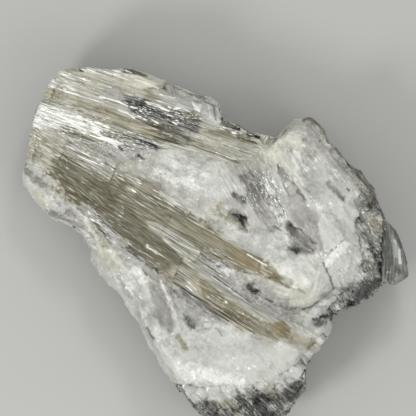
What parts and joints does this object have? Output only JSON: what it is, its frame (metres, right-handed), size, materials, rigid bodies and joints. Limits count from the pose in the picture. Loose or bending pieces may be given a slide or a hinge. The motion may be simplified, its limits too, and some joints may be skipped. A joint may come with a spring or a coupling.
{
  "type": "hydroboracite specimen",
  "caption": "Hand-sized mineral specimen: fans of silky tan bladed crystals in white fibrous matrix, with dark shale at the lower end and right side.",
  "frame": {"origin": "bottom centre of the whole specimen as it lies on its back", "axes": "+X across the crystal face, +Y up the face, +Z out of the face and up from the table"},
  "size_m": [0.105, 0.0974, 0.034],
  "materials": {
    "white_matrix": "silky to dull, fibrous",
    "silky_crystal": "silky, striated",
    "grey_shale": "dull with small glints",
    "brown_rind": "dull",
    "glassy_slab": "glassy, cloudy"
  },
  "bodies": {
    "root": {"white_matrix": "white_matrix", "upper_crystal_spray": "silky_crystal", "central_crystal_spray": "silky_crystal", "lower_crystal_spray": "silky_crystal", "lower_shale": "grey_shale", "side_shale": "grey_shale", "brown_rind": "brown_rind", "glassy_slab": "glassy_slab"}
  },
  "joints": []
}
